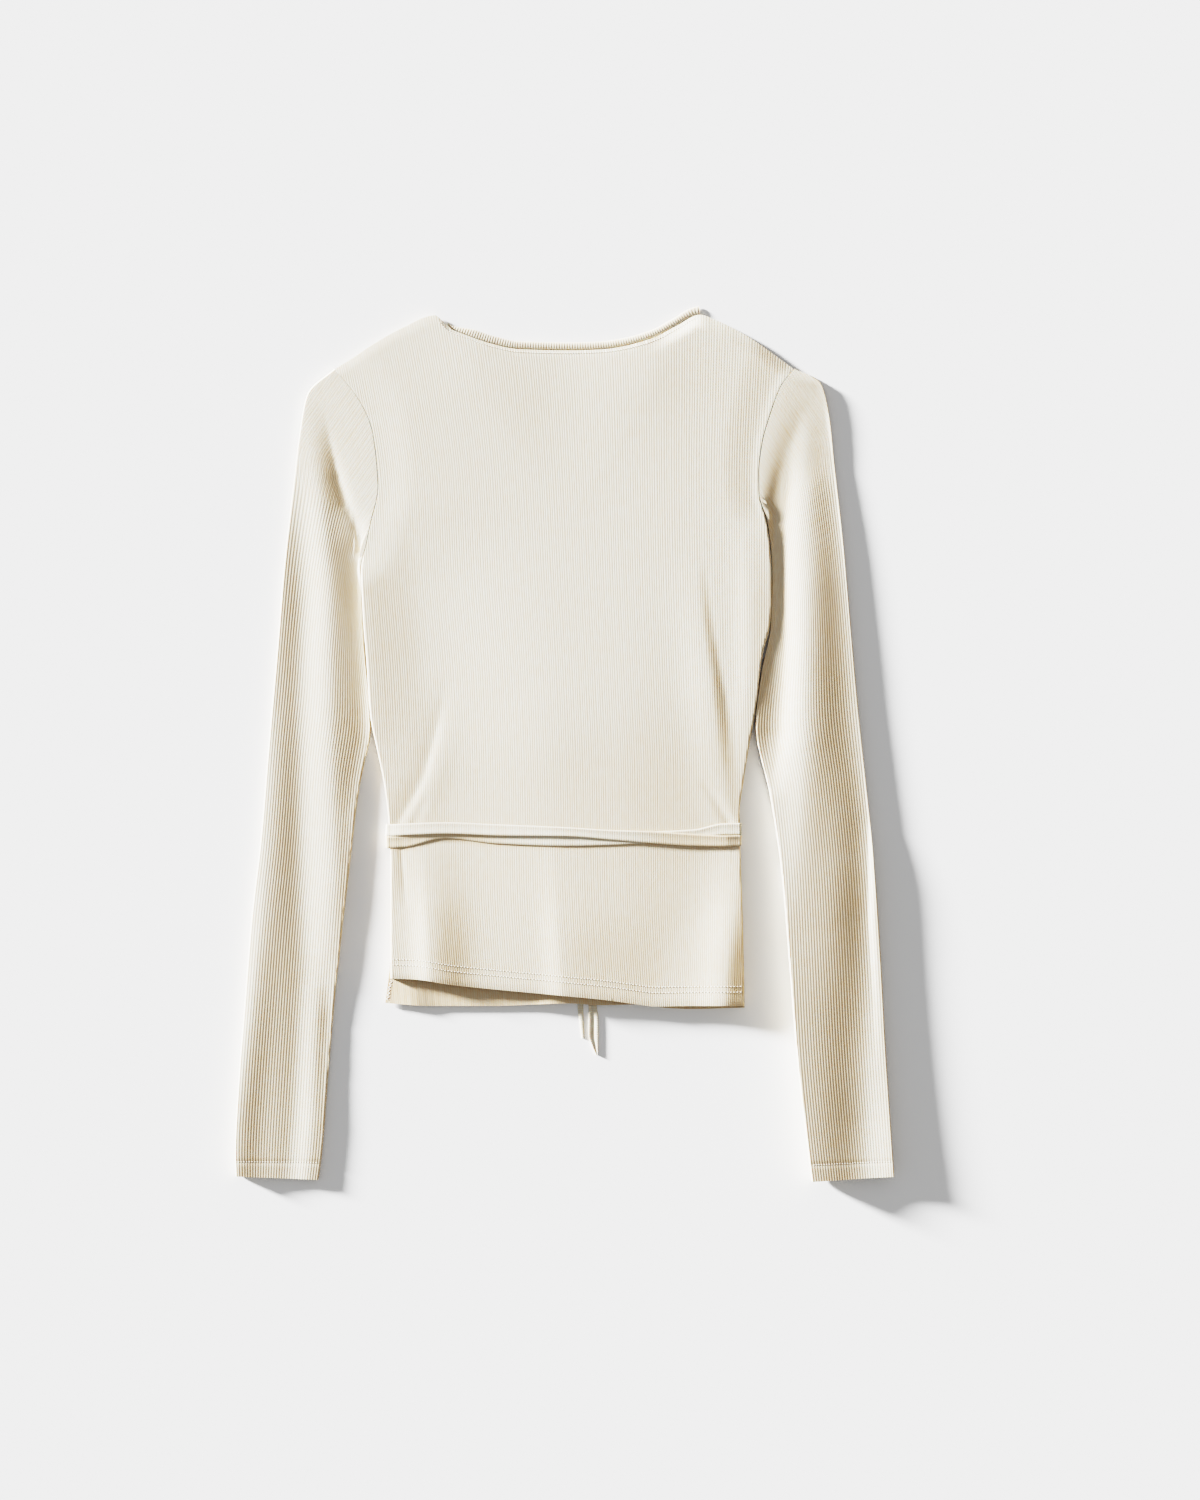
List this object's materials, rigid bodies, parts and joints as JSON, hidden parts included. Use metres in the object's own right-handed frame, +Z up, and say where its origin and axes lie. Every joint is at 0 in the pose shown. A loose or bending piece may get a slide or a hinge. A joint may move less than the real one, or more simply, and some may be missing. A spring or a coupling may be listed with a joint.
{
  "type": "wrap top",
  "caption": "Long-sleeved wrap top in cream fine-rib knit, laid flat with its back up: bound scoop back neck, set-in sleeves, belt of two ties across the waist, tie ends below the hem",
  "frame": {"origin": "on the table, under the centre of the whole outline", "axes": "+X to the wearer's right, +Y towards the neck, +Z up from the table through the front layers to the back panel"},
  "size_m": [0.5292, 0.6982, 0.0115],
  "materials": {
    "back_cloth": "matte fine rib knit",
    "front_inner_cloth": "matte fine rib knit",
    "front_outer_cloth": "matte fine rib knit",
    "sleeve_left_cloth": "matte fine rib knit",
    "sleeve_right_cloth": "matte fine rib knit",
    "neckband_back_cloth": "matte rib binding",
    "neckband_inner_cloth": "matte rib binding",
    "neckband_outer_cloth": "matte rib binding",
    "tie_a_cloth": "matte rib strip",
    "tie_b_cloth": "matte rib strip",
    "knot_cloth": "matte rib strip",
    "tie_end_a_cloth": "matte rib strip",
    "tie_end_b_cloth": "matte rib strip"
  },
  "bodies": {
    "root": {"back": "back_cloth", "front_inner": "front_inner_cloth", "front_outer": "front_outer_cloth", "sleeve_left": "sleeve_left_cloth", "sleeve_right": "sleeve_right_cloth", "neckband_back": "neckband_back_cloth", "neckband_inner": "neckband_inner_cloth", "neckband_outer": "neckband_outer_cloth", "tie_a": "tie_a_cloth", "tie_b": "tie_b_cloth", "knot": "knot_cloth", "tie_end_a": "tie_end_a_cloth", "tie_end_b": "tie_end_b_cloth"}
  },
  "joints": []
}
